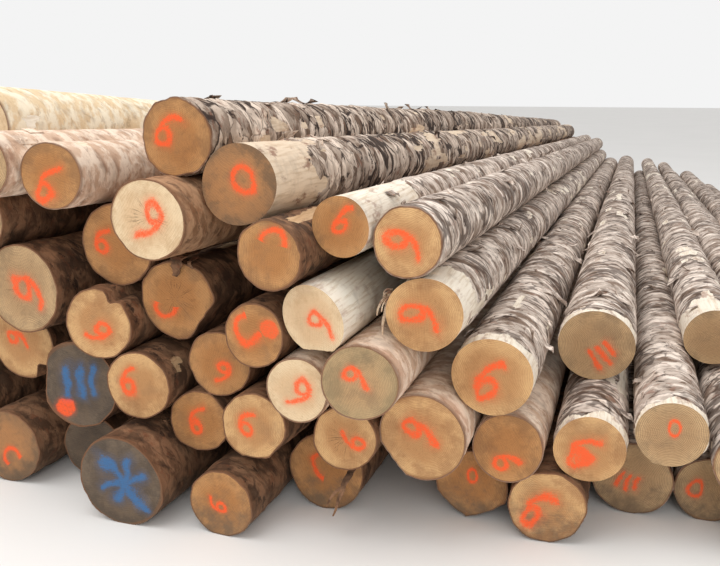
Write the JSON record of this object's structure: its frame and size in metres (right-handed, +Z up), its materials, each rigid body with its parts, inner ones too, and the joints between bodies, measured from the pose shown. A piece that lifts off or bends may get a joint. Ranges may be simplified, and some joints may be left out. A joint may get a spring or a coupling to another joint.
{
  "type": "heap of logs",
  "caption": "Heap of long felled trunks stacked lengthwise in staggered tiers, sawn butts all at the front, tapering to thinner tops at the back.",
  "frame": {"origin": "middle of the heap's footprint on the ground", "axes": "+Y along the trunks from the butts at the front to the thin tops at the back, +X to the right seen from the butts, +Z up"},
  "size_m": [5.0358, 11.19, 1.6124],
  "materials": {
    "grey_bark": "matt, rough grey-brown bark",
    "dark_bark": "matt, dark damp bark",
    "peeled_wood": "matt, barked pale sapwood"
  },
  "bodies": {
    "root": {"base_log_01": "dark_bark", "base_log_02": "dark_bark", "base_log_03": "dark_bark", "base_log_04": "dark_bark", "base_log_05": "dark_bark", "base_log_06": "grey_bark", "base_log_07": "dark_bark", "base_log_08": "grey_bark", "base_log_09": "grey_bark", "base_log_10": "grey_bark", "base_log_11": "grey_bark", "base_log_12": "grey_bark", "base_log_13": "grey_bark", "base_log_14": "grey_bark", "base_log_15": "grey_bark", "base_log_16": "grey_bark", "fifth_log_01": "grey_bark", "fifth_log_02": "grey_bark", "fifth_log_03": "grey_bark", "fifth_log_05": "grey_bark", "fifth_log_06": "grey_bark", "fifth_log_07": "grey_bark", "fourth_log_01": "grey_bark", "fourth_log_02": "grey_bark", "fourth_log_03": "grey_bark", "fourth_log_04": "grey_bark", "fourth_log_05": "grey_bark", "fourth_log_06": "peeled_wood", "fourth_log_07": "grey_bark", "second_log_01": "dark_bark", "second_log_02": "dark_bark", "second_log_03": "grey_bark", "second_log_04": "grey_bark", "second_log_05": "grey_bark", "second_log_06": "grey_bark", "second_log_07": "dark_bark", "second_log_08": "grey_bark", "second_log_09": "grey_bark", "second_log_10": "grey_bark", "second_log_11": "grey_bark", "second_log_12": "grey_bark", "sixth_log_01": "grey_bark", "sixth_log_02": "grey_bark", "sixth_log_03": "grey_bark", "sixth_log_04": "peeled_wood", "sixth_log_05": "grey_bark", "sixth_log_06": "grey_bark", "third_log_01": "grey_bark", "third_log_02": "grey_bark", "third_log_03": "grey_bark", "third_log_04": "grey_bark", "third_log_05": "grey_bark", "third_log_06": "grey_bark", "third_log_07": "grey_bark", "third_log_08": "grey_bark", "third_log_09": "grey_bark", "third_log_10": "grey_bark", "third_log_11": "grey_bark", "top_log_01": "peeled_wood", "top_log_02": "grey_bark"}
  },
  "joints": []
}
